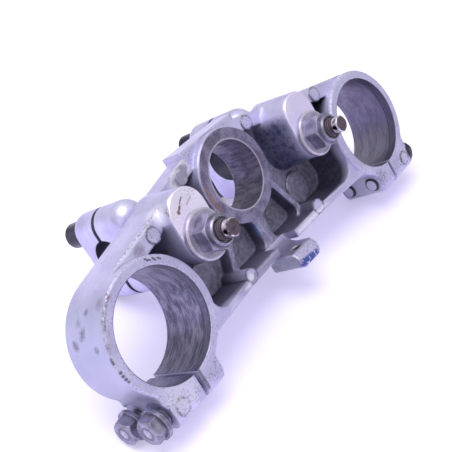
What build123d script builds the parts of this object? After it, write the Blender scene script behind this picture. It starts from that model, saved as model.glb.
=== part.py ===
import os
from math import asin, atan2, cos, degrees, hypot, pi, sin, sqrt

from build123d import *

# Layout: Z is the steering stem axis, +Y the front of the bike, z = 0 the stem boss's lower face
fork_spacing = 192.0
fork_offset = 24.6
bar_spacing = 100.4
stud_ahead = 7.5

# Fork rings and their pinch ears
fork_bore = 52.0
ring_wall = 5.0
ring_drop = 14.2
top_height = 18.0
ring_edge = 0.8
top_edge = 2.8
ear_inboard = 14.4
ear_outboard = 22.3
ear_lead = 7.3
ear_corner_in = 6.0
ear_corner_out = 3.2
ear_nose = 5.0
ear_blend_out = 6.0
ear_blend_in = 5.0
split_width = 2.6
ear_disc = 7.5
ear_disc_side = 14.6
ear_disc_inset = 7.4

# Stem boss
stem_bore = 36.4
stem_wall = 7.0
stem_proud = 4.1
stem_edge = 0.8

# Top plate, walls and ribs of the casting
plate_thickness = 6.0
front_face = 45.5
front_wall = 4.0
front_rim = 6.8
front_rim_flat = 33.2
front_rim_end = 73.0
front_rim_bend = 9.0
corner_fill = 9.0
rear_pad_width = 44.0
rear_pad_reach = 25.9
rear_pad_depth = 13.5
rear_wall = 8.0
rear_wall_reach = 22.8
rear_wall_lead = 8.0
rear_rim_high = 4.3
rear_rim_low = 9.8
rear_rim_flat = 21.0
rear_rim_fall = 28.0
rear_rim_bend = 14.0
web_width = 8.0
rib_level = 3.5
rib_thickness = 3.2
rib_root_side = 19.0
rib_root_ahead = 9.5
casting_blend = 4.0

# Cast pads left by the ejector pins
front_pad = 8.0
front_pad_side = 33.0
rear_pad = 7.8
rear_pad_outer_side = 72.0
rear_pad_inner_side = 29.0
rear_pad_inset = 5.0
pad_height = 0.5
floor_pad_inner = 6.5
floor_pad_inner_side = 17.5
floor_pad_outer = 18.0
floor_pad_outer_side = 45.0
floor_pad_ahead = 32.0
floor_pad_height = 2.0

# Handlebar bosses under the plate
boss_width = 24.0
boss_run = 13.1
boss_drop = 13.5
boss_draft = 3.0
boss_edge = 0.8

# Lug on the front wall
lug_width = 16.8
lug_front = 55.9
lug_step = 1.7
lug_top = 4.5
lug_drop = 16.0
lug_hole = 5.0
lug_hole_drop = 9.9
lug_corner = 2.5
lug_bevel = 3.0
saddle_radius = 9.0

# Handlebar holders and caps
bar_diameter = 22.2
bar_height = 46.2
bar_ahead = 3.4
holder_width = 20.0
holder_length = 50.0
cap_bolt_spacing = 30.4
holder_foot = 9.0
holder_shy = 1.0
clamp_gap = 2.6
cap_height = 67.3
cap_edge = 6.0
cap_seat_depth = 2.0

# Fasteners
stud_thread = 10.0
stud_in_holder = 10.0
stud_tip_drop = 34.4
stud_tip_chamfer = 1.0
cotter_hole = 3.0
cotter_from_tip = 2.5
washer_diameter = 25.0
washer_thickness = 3.0
washer_edge = 0.6
nut_flats = 17.0
nut_height = 8.0
nut_turns = {"left": 30.0, "right": -14.0}
nut_collar = 14.6
nut_collar_height = 2.6
nut_collar_edge = 0.8
nut_recess = 12.2
nut_recess_depth = 1.6
cap_bolt_thread = 8.0
cap_bolt_in_holder = 18.0
cap_bolt_head = 14.0
cap_bolt_head_height = 13.6
cap_bolt_edge = 2.0
cap_bolt_socket = 6.0
cap_bolt_socket_depth = 5.0
pinch_thread = 8.0
pinch_wall = 2.15
pinch_spacing = 17.4
pinch_seat_depth = 1.8
pinch_flange = 16.0
pinch_flange_height = 1.8
pinch_flats = 12.0
pinch_head = 7.2
pinch_turn = 19.0
pinch_backed_off = 4.4
pinch_tip_proud = 1.0
pinch_tip_chamfer = 0.8
seat_room = 0.5
head_chamfer = 1.2
thread_room = 0.05
bolt_room = 0.25
hex_sides = 6

# Worked out from the sizes above
fork_side = fork_spacing / 2
bar_side = bar_spacing / 2
fork_radius = fork_bore / 2
ring_radius = fork_radius + ring_wall
ring_height = ring_drop + top_height
stem_radius = stem_bore / 2 + stem_wall
plate_under = top_height - plate_thickness
wall_top = top_height - top_edge
rear_pad_side = rear_pad_width / 2
machined_top = top_height + stem_proud
holder_top = bar_height - holder_shy
cap_base = holder_top + clamp_gap
lug_rear = front_face + lug_step
washer_face = boss_drop + washer_thickness
nut_face = washer_face + nut_height
pinch_middle = (top_height - ring_drop) / 2
pinch_ahead = fork_offset + fork_radius + pinch_wall + pinch_thread / 2 + bolt_room
ear_front = pinch_ahead + ear_lead
pinch_levels = (pinch_middle - pinch_spacing / 2, pinch_middle + pinch_spacing / 2)
sides = {"left": -1, "right": 1}

# The rear walls leave the rear pad and run tangent to the fork rings
wall_across = fork_side - rear_pad_side
wall_along = fork_offset + rear_wall_reach
wall_to_fork = hypot(wall_across, wall_along)
wall_turn = atan2(wall_along, wall_across) - asin(ring_radius / wall_to_fork)
wall_length = sqrt(wall_to_fork**2 - ring_radius**2)
wall_end_side = rear_pad_side + wall_length * cos(wall_turn)
wall_end_ahead = wall_length * sin(wall_turn) - rear_wall_reach

# Round fill of the pocket's corner, touching the front wall and the fork ring
wall_inside = front_face - front_wall
fill_ahead = wall_inside - corner_fill
fill_reach = ring_radius + corner_fill
fill_turn = asin((fill_ahead - fork_offset) / fill_reach)
fill_side = fork_side - fill_reach * cos(fill_turn)
ring_touch = (fork_side - ring_radius * cos(fill_turn), fork_offset + ring_radius * sin(fill_turn))


def rear_face(side_distance):
    """Reach of the rear wall's outer face behind the stem axis, at a distance to the side."""
    return rear_wall_reach - (side_distance - rear_pad_side) * sin(wall_turn) / cos(wall_turn)


def hexagon(builder, base, centre, flats, height, turn):
    """Hexagon standing on a plane, with a cone taken off the corners of its free end."""
    with BuildSketch(base) as round_plan:
        with Locations(centre):
            Circle(flats / 2 / cos(pi / hex_sides))
    extrude(round_plan.sketch, amount=height)
    free_end = builder.faces().sort_by(Axis(base.origin, base.z_dir))[-1]
    chamfer(free_end.edges(), head_chamfer)
    with BuildSketch(base) as flats_plan:
        with Locations(centre):
            RegularPolygon(flats / 2, hex_sides, major_radius=False, rotation=turn)
    extrude(flats_plan.sketch, amount=height, mode=Mode.INTERSECT)


# Front wall, dropping to the rings at its ends, with the filled corners
with BuildPart() as wall_casting:
    with BuildSketch(Plane.XZ.offset(-front_face)):
        with BuildLine() as elevation:
            FilletPolyline(
                (0, -front_rim),
                (front_rim_flat, -front_rim),
                (front_rim_end, ring_edge - ring_drop),
                (fork_side, ring_edge - ring_drop),
                radius=front_rim_bend,
            )
            Polyline((fork_side, ring_edge - ring_drop), (fork_side, wall_top), (0, wall_top))
            mirror(elevation.line, about=Plane.YZ)
        make_face()
    extrude(amount=front_face - fork_offset)
    with BuildSketch(Plane.XY.offset(-ring_drop)) as wall_plan:
        with Locations((0, front_face)):
            Rectangle(fork_spacing, front_wall, align=(Align.CENTER, Align.MAX))
        with BuildSketch(Plane.XY, mode=Mode.ADD) as fill_plan:
            with BuildLine():
                RadiusArc((fill_side, wall_inside), ring_touch, corner_fill)
                Polyline(
                    ring_touch,
                    (fork_side, fork_offset),
                    (fork_side, front_face - front_wall / 2),
                    (fill_side, front_face - front_wall / 2),
                    (fill_side, wall_inside),
                )
            make_face()
        mirror(fill_plan.sketch, about=Plane.YZ)
    extrude(amount=ring_height, mode=Mode.INTERSECT)

with BuildPart() as crown:
    # Fork rings with their ears, softened on the outer edges
    for side in sides.values():
        with BuildSketch(Plane.XY.offset(-ring_drop)) as ring_plan:
            with Locations((side * fork_side, fork_offset)):
                Circle(ring_radius)
            ear_middle = side * (fork_side + (ear_outboard - ear_inboard) / 2)
            with Locations((ear_middle, (fork_offset + ear_front) / 2)):
                Rectangle(ear_inboard + ear_outboard, ear_front - fork_offset)
            for reach, corner, blend in (
                (-ear_inboard, ear_corner_in, ear_blend_in),
                (ear_outboard, ear_corner_out, ear_blend_out),
            ):
                across = side * (fork_side + reach)
                fillet(ring_plan.vertices().sort_by_distance((across, ear_front))[0], corner)
                root = (across, fork_offset + sqrt(ring_radius**2 - reach**2))
                fillet(ring_plan.vertices().sort_by_distance(root)[0], blend)
        extrude(amount=ring_height)
    ring_faces = crown.faces().filter_by(Plane.XY).group_by(Axis.Z)
    chamfer(ring_faces[0].edges(), ring_edge)
    chamfer(ring_faces[-1].edges(), top_edge)
    with BuildSketch(Plane.YZ) as nose_cut:
        for level, turn in ((-ring_drop, 1), (top_height, -1)):
            with Locations((ear_front, level)):
                Rectangle(2 * ear_nose, 2 * ear_nose)
            with Locations((ear_front - ear_nose, level + turn * ear_nose)):
                Circle(ear_nose, mode=Mode.SUBTRACT)
    extrude(amount=fork_spacing, both=True, mode=Mode.SUBTRACT)

    # Top plate with a slanted outer edge, and the square pad at the rear
    with BuildSketch(Plane.XY.offset(wall_top)) as plate_plan:
        with BuildLine() as outline:
            Polyline(
                (0, -rear_pad_reach),
                (rear_pad_side, -rear_pad_reach),
                (rear_pad_side, -rear_wall_reach),
                (wall_end_side, wall_end_ahead),
                (fork_side, fork_offset),
                (fork_side, front_face),
                (0, front_face),
            )
            mirror(outline.line, about=Plane.YZ)
        make_face()
    extrude(amount=plate_under - wall_top)
    extrude(plate_plan.sketch, amount=top_edge, taper=45)
    with BuildSketch(Plane.XY.offset(top_height)):
        with Locations((0, -rear_pad_reach)):
            Rectangle(rear_pad_width, rear_pad_reach - stem_bore / 2, align=(Align.CENTER, Align.MIN))
    extrude(amount=-rear_pad_depth)

    # Front wall
    add(wall_casting.part)

    # Rear walls, low at the rings and high beside the stem
    for side in sides.values():
        wall_plane = Plane(
            origin=(side * rear_pad_side, -rear_wall_reach, 0),
            x_dir=(side * cos(wall_turn), sin(wall_turn), 0),
            z_dir=(sin(wall_turn), -side * cos(wall_turn), 0),
        )
        with BuildSketch(wall_plane):
            with BuildLine():
                FilletPolyline(
                    (-rear_wall_lead, rear_rim_high),
                    (rear_rim_flat, rear_rim_high),
                    (rear_rim_flat + rear_rim_fall, -rear_rim_low),
                    (wall_length, -rear_rim_low),
                    radius=rear_rim_bend,
                )
                Polyline(
                    (wall_length, -rear_rim_low),
                    (wall_length, wall_top),
                    (-rear_wall_lead, wall_top),
                    (-rear_wall_lead, rear_rim_high),
                )
            make_face()
        extrude(amount=-side * rear_wall)

    # Stem boss, centre web and ribs, blended where they meet
    with BuildSketch():
        Circle(stem_radius)
    extrude(amount=rib_level)
    chamfer(crown.edges().sort_by_distance((0, stem_radius, 0))[0], stem_edge)
    with BuildSketch(Plane.XY.offset(rib_level)) as rib_plan:
        Circle(stem_radius)
        Rectangle(web_width, front_face, align=(Align.CENTER, Align.MIN))
        for side in sides.values():
            rib_ahead = front_face - front_wall / 2 - rib_root_ahead
            rib_run = hypot(front_pad_side - rib_root_side, rib_ahead)
            rib_turn = degrees(atan2(rib_ahead, side * (front_pad_side - rib_root_side)))
            with Locations(Location((side * rib_root_side, rib_root_ahead, 0), (0, 0, rib_turn))):
                Rectangle(rib_run, rib_thickness, align=(Align.MIN, Align.CENTER))
        with Locations((0, front_face)):
            Rectangle(2 * bar_side, front_wall, align=(Align.CENTER, Align.MAX))
        inner = rib_plan.vertices().filter_by_position(Axis.X, -bar_side, bar_side, (False, False))
        fillet(inner.filter_by_position(Axis.Y, 0, front_face, (False, False)), casting_blend)
    extrude(amount=plate_under - rib_level)
    with BuildSketch(Plane.XY.offset(top_height)):
        Circle(stem_radius)
    extrude(amount=stem_proud)

    # Handlebar bosses with casting draft
    for side in sides.values():
        with BuildSketch(Plane.XY.offset(-boss_drop)):
            with Locations((side * bar_side, stud_ahead - boss_run / 2)):
                SlotCenterToCenter(boss_run, boss_width, rotation=90)
        extrude(amount=boss_drop + plate_under, taper=-boss_draft)
        boss_face = crown.faces().sort_by_distance((side * bar_side, stud_ahead, -boss_drop))[0]
        chamfer(boss_face.edges(), boss_edge)

    # Round seats for the handlebar holders on top, level with the stem boss
    for side in sides.values():
        with BuildSketch(Plane.XY.offset(top_height)):
            with Locations((side * bar_side, stud_ahead)):
                Circle(boss_width / 2)
        extrude(amount=stem_proud)

    # Ejector pads on the rims, the ears and the pocket floors
    for side in sides.values():
        outer_ahead = rear_pad_inset - rear_face(rear_pad_outer_side)
        inner_ahead = rear_pad_inset - rear_face(rear_pad_inner_side)
        pads = (
            (fork_side + ear_disc_side, ear_front - ear_disc_inset, ear_disc, -ring_drop - pad_height),
            (front_pad_side, front_face - front_pad / 2, front_pad, -front_rim - pad_height),
            (rear_pad_outer_side, outer_ahead, rear_pad, -rear_rim_low - pad_height),
            (rear_pad_inner_side, inner_ahead, rear_pad, rear_rim_high - pad_height),
            (floor_pad_inner_side, floor_pad_ahead, floor_pad_inner, plate_under - pad_height),
            (floor_pad_outer_side, floor_pad_ahead, floor_pad_outer, plate_under - floor_pad_height),
        )
        for across, ahead, diameter, level in pads:
            with BuildSketch(Plane.XY.offset(level)):
                with Locations((side * across, ahead)):
                    Circle(diameter / 2)
            extrude(amount=top_height - level)

    # Lug on the front wall, with a round saddle from its rear face up to the web
    with BuildSketch(Plane.XY.offset(-lug_drop)) as lug_plan:
        with Locations((0, front_face)):
            Rectangle(lug_width, lug_front - front_face, align=(Align.CENTER, Align.MIN))
        fillet(lug_plan.vertices().group_by(Axis.Y)[-1], lug_corner)
    extrude(amount=lug_drop + lug_top)
    with BuildSketch(Plane.YZ):
        with Locations((lug_rear - saddle_radius, rib_level - saddle_radius)):
            Circle(saddle_radius)
            Rectangle(saddle_radius, lug_drop, align=(Align.MIN, Align.MAX))
        with Locations((lug_rear, -lug_drop)):
            Rectangle(lug_bevel * sqrt(2), lug_bevel * sqrt(2), rotation=45)
    extrude(amount=lug_width / 2, both=True, mode=Mode.SUBTRACT)

    # Bores, split, bolt holes and seats
    with Locations((0, 0, 0)):
        Hole(stem_bore / 2)
    with Locations((-fork_side, fork_offset, 0), (fork_side, fork_offset, 0)):
        Hole(fork_radius)
    with Locations((-bar_side, stud_ahead, 0), (bar_side, stud_ahead, 0)):
        Hole(stud_thread / 2 + bolt_room)
    with BuildSketch(Plane.XZ.offset(-lug_front)):
        with Locations((0, -lug_hole_drop)):
            Circle(lug_hole / 2)
    extrude(amount=lug_front - front_face, mode=Mode.SUBTRACT)
    with BuildSketch(Plane.XY.offset(-ring_drop)):
        with Locations((-fork_side, fork_offset), (fork_side, fork_offset)):
            Rectangle(split_width, ear_front - fork_offset, align=(Align.CENTER, Align.MIN))
    extrude(amount=ring_height, mode=Mode.SUBTRACT)
    for side in sides.values():
        for start, depth, diameter in (
            (fork_side, ear_outboard, pinch_thread + 2 * bolt_room),
            (fork_side + ear_outboard - pinch_seat_depth, ring_radius, pinch_flange + 2 * seat_room),
            (fork_side, -ear_inboard - ear_blend_in, pinch_thread + 2 * thread_room),
        ):
            with BuildSketch(Plane.YZ.offset(side * start)):
                with Locations(*[(pinch_ahead, level) for level in pinch_levels]):
                    Circle(diameter / 2)
            extrude(amount=side * depth, mode=Mode.SUBTRACT)
crown.part.label = "crown"

pieces = [crown.part]

for name, side in sides.items():
    # Lower handlebar holder, standing on its seat
    with BuildPart() as holder:
        with BuildSketch(Plane.XY.offset(machined_top)):
            with Locations((side * bar_side, bar_ahead)):
                SlotOverall(holder_length, holder_width, rotation=90)
        extrude(amount=holder_top - machined_top)
        fillet(holder.faces().sort_by(Axis.Z)[0].edges(), holder_foot)
        with BuildSketch(Plane.YZ.offset(side * bar_side)):
            with Locations((bar_ahead, bar_height)):
                Circle(bar_diameter / 2)
        extrude(amount=holder_width, both=True, mode=Mode.SUBTRACT)
        with BuildSketch(Plane.XY.offset(bar_height)):
            with Locations((side * bar_side, bar_ahead)):
                with GridLocations(0, cap_bolt_spacing, 1, 2):
                    Circle(cap_bolt_thread / 2 + thread_room)
        extrude(amount=-cap_bolt_in_holder - thread_room, mode=Mode.SUBTRACT)
        with BuildSketch(Plane.XY.offset(machined_top)):
            with Locations((side * bar_side, stud_ahead)):
                Circle(stud_thread / 2 + thread_room)
        extrude(amount=stud_in_holder, mode=Mode.SUBTRACT)
    holder.part.label = f"bar_holder_{name}"
    pieces.append(holder.part)

    # Cap that closes over the handlebar
    with BuildPart() as cap:
        with BuildSketch(Plane.XY.offset(cap_base)):
            with Locations((side * bar_side, bar_ahead)):
                SlotOverall(holder_length, holder_width, rotation=90)
        extrude(amount=cap_height - cap_base)
        fillet(cap.faces().sort_by(Axis.Z)[-1].edges(), cap_edge)
        with BuildSketch(Plane.YZ.offset(side * bar_side)):
            with Locations((bar_ahead, bar_height)):
                Circle(bar_diameter / 2)
        extrude(amount=holder_width, both=True, mode=Mode.SUBTRACT)
        with BuildSketch(Plane.XY.offset(bar_height)):
            with Locations((side * bar_side, bar_ahead)):
                with GridLocations(0, cap_bolt_spacing, 1, 2):
                    Circle(cap_bolt_thread / 2 + bolt_room)
        extrude(amount=cap_height - bar_height, mode=Mode.SUBTRACT)
        with BuildSketch(Plane.XY.offset(cap_height)):
            with Locations((side * bar_side, bar_ahead)):
                with GridLocations(0, cap_bolt_spacing, 1, 2):
                    Circle(cap_bolt_head / 2 + seat_room)
        extrude(amount=-cap_seat_depth, mode=Mode.SUBTRACT)
    cap.part.label = f"bar_cap_{name}"
    pieces.append(cap.part)

    # Socket-head bolts through the cap, one behind and one ahead of the bar
    for place, end in (("rear", -1), ("front", 1)):
        with BuildPart() as cap_bolt:
            axis_point = (side * bar_side, bar_ahead + end * cap_bolt_spacing / 2)
            cap_seat = cap_height - cap_seat_depth
            with BuildSketch(Plane.XY.offset(cap_seat)):
                with Locations(axis_point):
                    Circle(cap_bolt_head / 2)
            extrude(amount=cap_bolt_head_height)
            fillet(cap_bolt.faces().sort_by(Axis.Z)[-1].edges(), cap_bolt_edge)
            with BuildSketch(Plane.XY.offset(cap_seat + cap_bolt_head_height)):
                with Locations(axis_point):
                    RegularPolygon(cap_bolt_socket / 2, hex_sides, major_radius=False)
            extrude(amount=-cap_bolt_socket_depth, mode=Mode.SUBTRACT)
            with BuildSketch(Plane.XY.offset(bar_height - cap_bolt_in_holder)):
                with Locations(axis_point):
                    Circle(cap_bolt_thread / 2)
            extrude(amount=cap_seat - bar_height + cap_bolt_in_holder)
        cap_bolt.part.label = f"cap_bolt_{place}_{name}"
        pieces.append(cap_bolt.part)

    # Stud hanging from the holder through the boss, with an empty cotter hole
    with BuildPart() as stud:
        with BuildSketch(Plane.XY.offset(-stud_tip_drop)):
            with Locations((side * bar_side, stud_ahead)):
                Circle(stud_thread / 2)
        extrude(amount=stud_tip_drop + machined_top + stud_in_holder)
        chamfer(stud.faces().sort_by(Axis.Z)[0].edges(), stud_tip_chamfer)
        with BuildSketch(Plane.YZ.offset(side * bar_side)):
            with Locations((stud_ahead, cotter_from_tip - stud_tip_drop)):
                Circle(cotter_hole / 2)
        extrude(amount=stud_thread, both=True, mode=Mode.SUBTRACT)
    stud.part.label = f"bar_stud_{name}"
    pieces.append(stud.part)

    # Thick washer under the boss
    with BuildPart() as washer:
        with BuildSketch(Plane.XY.offset(-washer_face)):
            with Locations((side * bar_side, stud_ahead)):
                Circle(washer_diameter / 2)
                Circle(stud_thread / 2 + bolt_room, mode=Mode.SUBTRACT)
        extrude(amount=washer_thickness)
        chamfer(washer.faces().sort_by(Axis.Z)[0].outer_wire().edges(), washer_edge)
    washer.part.label = f"stud_washer_{name}"
    pieces.append(washer.part)

    # Locking nut with a round collar
    with BuildPart() as nut:
        below_washer = Plane(origin=(0, 0, -washer_face), x_dir=(1, 0, 0), z_dir=(0, 0, -1))
        nut_centre = (side * bar_side, -stud_ahead)
        hexagon(nut, below_washer, nut_centre, nut_flats, nut_height, nut_turns[name])
        with BuildSketch(Plane.XY.offset(-nut_face)):
            with Locations((side * bar_side, stud_ahead)):
                Circle(nut_collar / 2)
        extrude(amount=-nut_collar_height)
        chamfer(nut.faces().sort_by(Axis.Z)[0].edges(), nut_collar_edge)
        with BuildSketch(Plane.XY.offset(-nut_face - nut_collar_height)):
            with Locations((side * bar_side, stud_ahead)):
                Circle(nut_recess / 2)
        extrude(amount=nut_recess_depth, mode=Mode.SUBTRACT)
        with Locations((side * bar_side, stud_ahead, -nut_face)):
            Hole(stud_thread / 2 + thread_room)
    nut.part.label = f"stud_nut_{name}"
    pieces.append(nut.part)

    # Pinch bolts across the split ears, heads outboard, the left pair slackened
    backed_off = pinch_backed_off if side < 0 else 0
    head_base = fork_side + ear_outboard - pinch_seat_depth + backed_off
    bolt_tip = fork_side - ear_inboard - pinch_tip_proud + backed_off
    seat_plane = Plane(origin=(side * head_base, 0, 0), x_dir=(0, 1, 0), z_dir=(side, 0, 0))
    turns = (pinch_turn, 0)
    for place, level, turn in zip(("lower", "upper"), pinch_levels, turns):
        with BuildPart() as pinch_bolt:
            axis_point = (pinch_ahead, side * level)
            hexagon(pinch_bolt, seat_plane, axis_point, pinch_flats, pinch_head, turn)
            with BuildSketch(seat_plane):
                with Locations(axis_point):
                    Circle(pinch_flange / 2)
            extrude(amount=pinch_flange_height)
            with BuildSketch(seat_plane):
                with Locations(axis_point):
                    Circle(pinch_thread / 2)
            extrude(amount=bolt_tip - head_base)
            inward = Axis((0, 0, 0), (-side, 0, 0))
            chamfer(pinch_bolt.faces().sort_by(inward)[-1].edges(), pinch_tip_chamfer)
        pinch_bolt.part.label = f"pinch_bolt_{place}_{name}"
        pieces.append(pinch_bolt.part)

os.makedirs("parts", exist_ok=True)
for piece in pieces:
    export_step(piece, f"parts/{piece.label}.step")
    print(piece.label, round(piece.volume))
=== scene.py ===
# %% [markdown]
# # A motorcycle triple clamp, lying upside down on a table
# The upper clamp of a motorcycle's fork is a ribbed aluminium casting with two split rings for the
# fork tubes, a bored boss for the steering stem, and two handlebar holders bolted through it. The
# solids come packed from the CAD side. Here they get their finishes, real threads, a floor, light
# and a camera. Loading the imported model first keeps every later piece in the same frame.

import bpy
import numpy as np
from mathutils import Matrix, Vector


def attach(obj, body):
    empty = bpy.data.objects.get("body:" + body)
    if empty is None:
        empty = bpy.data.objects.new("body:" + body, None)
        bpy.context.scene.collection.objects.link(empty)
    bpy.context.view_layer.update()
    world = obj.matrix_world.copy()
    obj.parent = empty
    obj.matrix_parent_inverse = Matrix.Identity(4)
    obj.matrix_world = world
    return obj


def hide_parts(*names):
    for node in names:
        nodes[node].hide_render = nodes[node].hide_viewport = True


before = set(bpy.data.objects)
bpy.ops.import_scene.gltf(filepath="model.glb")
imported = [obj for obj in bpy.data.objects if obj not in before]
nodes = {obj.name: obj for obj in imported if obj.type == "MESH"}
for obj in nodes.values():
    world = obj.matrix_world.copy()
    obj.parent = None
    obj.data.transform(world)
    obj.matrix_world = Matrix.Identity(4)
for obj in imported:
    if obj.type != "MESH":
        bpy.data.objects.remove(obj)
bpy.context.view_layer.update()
MM = 0.001
scene = bpy.context.scene
scene.view_settings.view_transform = "Standard"

# %% [markdown]
# ## The camera
# A camera could be aimed by eye with a Track To constraint. This one is written as the matrix of
# its three axes and its place, worked out from the round edges of the bores and bosses, so that
# the casting falls on the same pixels as in the photograph. It looks at the clamp's underside.

# %% Camera
view_right = (0.55989, 0.50622, -0.65594)
view_down = (-0.53092, 0.82697, 0.18503)
view_ahead = (0.63611, 0.24466, 0.73178)
camera_place = (-0.289064, -0.085693, -0.304530)
picture_width = 452
focal_pixels = 845.288

camera_data = bpy.data.cameras.new("table_camera")
camera_data.sensor_width = 36.0
camera_data.lens = camera_data.sensor_width * focal_pixels / picture_width
camera = bpy.data.objects.new("table_camera", camera_data)
scene.collection.objects.link(camera)
axes = np.array([view_right, np.negative(view_down), np.negative(view_ahead), camera_place]).T
camera.matrix_world = Matrix([*axes.tolist(), [0, 0, 0, 1]])
scene.camera = camera
print("lens", round(camera_data.lens, 2), "mm")

# %% [markdown]
# ## Writing materials as sums
# A material is a tree of small nodes. Wiring them one by one hides the thought, so this cell makes
# a helper. `Socket` wraps one output of a tree, and its operators add Math nodes, so `1 - mask` is
# written as it is meant.

# %% Socket arithmetic
class Socket:
    """One output of a material's tree; sums and products of sockets add Math nodes."""

    def __init__(self, finish, link):
        self.finish, self.link = finish, link

    def math(self, operation, *values):
        return self.finish.node("ShaderNodeMath", {"operation": operation}, dict(enumerate(values)))

    def __add__(self, other):
        return self.math("ADD", self, other)

    def __sub__(self, other):
        return self.math("SUBTRACT", self, other)

    def __rsub__(self, other):
        return self.math("SUBTRACT", other, self)

    def __mul__(self, other):
        return self.math("MULTIPLY", self, other)

    def __abs__(self):
        return self.math("ABSOLUTE", self)

    def root(self):
        return self.math("SQRT", self)

    def most(self, other):
        return self.math("MAXIMUM", self, other)

    def least(self, other):
        return self.math("MINIMUM", self, other)

    __radd__ = __add__
    __rmul__ = __mul__


print("socket operators ready")

# %% [markdown]
# ## One way to add a node
# Every other kind of node is added by one method of `Finish`, which holds a material's tree. The
# node's own settings come first, because some of them change its sockets, and then each socket gets
# its number, its colour or its link.

# %% Node trees
class Finish:
    """A material, or the world, whose nodes are all added by one method."""

    def __init__(self, owner):
        owner.use_nodes = True
        self.owner, self.tree = owner, owner.node_tree
        self.tree.nodes.clear()

    def __len__(self):
        return len(self.tree.nodes)

    def node(self, kind, settings=None, inputs=None, output=0):
        made = self.tree.nodes.new(kind)
        for key, value in (settings or {}).items():
            setattr(made, key, value)
        for key, value in (inputs or {}).items():
            if isinstance(value, Socket):
                self.tree.links.new(value.link, made.inputs[key])
            else:
                made.inputs[key].default_value = value
        return Socket(self, made.outputs[output]) if made.outputs else made


print("node trees ready")

# %% [markdown]
# ## Colours and soft steps
# Most wear is a blend between two colours by a mask, and most masks are a soft step of a distance
# or of a noise. These short functions name those steps. Colours are written as the eye reads them,
# from 0 to 255, and are turned to the linear values that the shader works in.

# %% Words for colours and masks
def tone(red, green, blue):
    """A colour as the eye reads it, turned to linear light."""
    share = np.array([red, green, blue]) / 255.0
    linear = np.where(share <= 0.04045, share / 12.92, ((share + 0.055) / 1.055) ** 2.4)
    return (*linear.tolist(), 1.0)


def fade(value, start, end):
    """Soft step: 0 at the start, 1 at the end, whichever of the two is larger."""
    spans = {"Value": value, "From Min": start, "From Max": end}
    return value.finish.node("ShaderNodeMapRange", {"interpolation_type": "SMOOTHSTEP"}, spans)


def blend(mask, under, over):
    """The first colour where the mask is 0, the second where it is 1."""
    colours = {0: mask, 6: under, 7: over}
    return mask.finish.node("ShaderNodeMix", {"data_type": "RGBA"}, colours, output=2)


def grain(place, per_mm, detail=3.0, roughness=0.55):
    """Noise with so many waves to the millimetre, from 0 to 1."""
    spans = {"Vector": place, "Scale": per_mm, "Detail": detail, "Roughness": roughness}
    return place.finish.node("ShaderNodeTexNoise", {}, spans)


def any_of(first, *others):
    """The strongest of several masks at each point."""
    for other in others:
        first = first.most(other)
    return first


print("words for colours and masks ready")

# %% [markdown]
# ## Places and single marks
# A mark has to know where it sits. Object coordinates stay with the piece in every view, so all
# patterns use them, in millimetres like a workshop drawing. A mark is then a soft step of the
# distance to a point or to a short line, and adding noise to that distance frays its border.

# %% Words for places and marks
def vector_math(finish, operation, inputs, output=0):
    """One Vector Math node of the given operation."""
    return finish.node("ShaderNodeVectorMath", {"operation": operation}, inputs, output)


def millimetres(finish):
    """Object coordinates in millimetres, whole and as x, y and z."""
    coords = finish.node("ShaderNodeTexCoord", output="Object")
    place = vector_math(finish, "SCALE", {0: coords, "Scale": 1.0 / MM})
    parts = [finish.node("ShaderNodeSeparateXYZ", {}, {0: place}, output=i) for i in range(3)]
    return place, *parts


def stretched(place, across, along, up):
    """The same place with each of its directions scaled, for streaks."""
    return vector_math(place.finish, "MULTIPLY", {0: place, 1: (across, along, up)})


def straight(across, ahead):
    """Distance of two offsets square to each other: the root of the sum of their squares."""
    return (across * across + ahead * ahead).root()


def spot(place, centre, inner, outer, ragged=0.0):
    """1 within the inner distance of a point, 0 beyond the outer one; ragged frays the border."""
    gap = vector_math(place.finish, "DISTANCE", {0: place, 1: centre}, "Value")
    return fade(gap + ragged, outer, inner)


def streak(place, start, end, width, ragged=0.0):
    """1 along the straight line between two points, 0 beyond its width; ragged frays the border."""
    finish, run = place.finish, Vector(end) - Vector(start)
    offset = vector_math(finish, "SUBTRACT", {0: place, 1: start})
    share = vector_math(finish, "DOT_PRODUCT", {0: offset, 1: run / run.length_squared}, "Value")
    foot = vector_math(finish, "SCALE", {0: run, "Scale": share.most(0.0).least(1.0)})
    gap = vector_math(finish, "DISTANCE", {0: offset, 1: foot}, "Value")
    return fade(gap + ragged, width, width * 0.4)


print("words for places and marks ready")

# %% [markdown]
# ## Rounded edges, corners and relief
# No real edge is perfectly sharp. A Bevel modifier would need clean meshes, and imported solids are
# loose triangles, so the Bevel node bends the normal near an edge instead. How far it bends tells
# where paint wears off and where highlights are painted, and the Ambient Occlusion node tells
# where shade is painted into corners and recesses.

# %% Words for normals and corners
def worn_edge(finish, radius_mm):
    """Normal that rounds every sharp edge of the solid a little."""
    return finish.node("ShaderNodeBevel", {"samples": 6}, {"Radius": radius_mm * MM})


def own_normal(finish):
    """The surface's own normal, before any rounding."""
    return finish.node("ShaderNodeNewGeometry", output="Normal")


def facing(normal, way):
    """1 where the normal points the given way, 0 where it lies square to it."""
    return vector_math(normal.finish, "DOT_PRODUCT", {0: normal, 1: way}, "Value")


def bent_edge(finish, rounded, start=0.995, end=0.9):
    """1 along the solid's edges: how far the rounded normal leans from the face's own."""
    return fade(facing(rounded, own_normal(finish)), start, end)


def mixed_normal(mask, under, over):
    """The first normal where the mask is 0, the second where it is 1."""
    pair = {0: mask, 4: under, 5: over}
    both = mask.finish.node("ShaderNodeMix", {"data_type": "VECTOR"}, pair, output=1)
    return vector_math(mask.finish, "NORMALIZE", {0: both})


def sheltered(finish, reach_mm):
    """0 on an open surface, up to 1 where the piece itself closes in around it."""
    settings, reach = {"samples": 8, "only_local": True}, {"Distance": reach_mm * MM}
    return 1 - finish.node("ShaderNodeAmbientOcclusion", settings, reach, "AO")


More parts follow.
